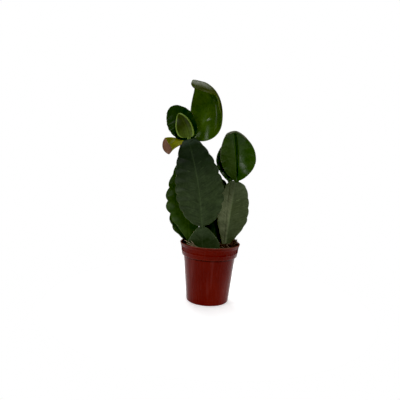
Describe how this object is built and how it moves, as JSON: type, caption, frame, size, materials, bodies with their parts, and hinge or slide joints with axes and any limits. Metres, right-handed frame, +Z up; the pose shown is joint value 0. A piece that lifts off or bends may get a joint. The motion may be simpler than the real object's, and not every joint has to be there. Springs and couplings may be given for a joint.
{
  "type": "potted rhipsalis",
  "caption": "Young flat-stemmed rhipsalis with lobed, hollowed and curled pads in a small tapered nursery pot.",
  "frame": {"origin": "centre of the pot's flat base", "axes": "+Z up the pot's axis, the front of the plant faces -Y, and +X is the viewer's right"},
  "size_m": [0.0897, 0.0681, 0.215],
  "materials": {
    "red_plastic": "gloss",
    "soil": "matte",
    "dull_green": "satin",
    "grey_green": "satin",
    "glossy_green": "gloss",
    "young_green": "gloss",
    "young_yellow": "satin"
  },
  "bodies": {
    "root": {"pot": "red_plastic", "soil": "soil", "pad_front_base": "dull_green", "pad_front_large": "dull_green", "pad_left": "glossy_green", "pad_left_back": "glossy_green", "pad_back": "dull_green", "pad_right_base": "grey_green", "pad_right_folded": "glossy_green", "pad_right_rear": "glossy_green", "pad_top_hooked": "glossy_green", "pad_top_round": "glossy_green", "pad_top_young": "young_green", "pad_bud_red": "young_yellow"}
  },
  "joints": []
}
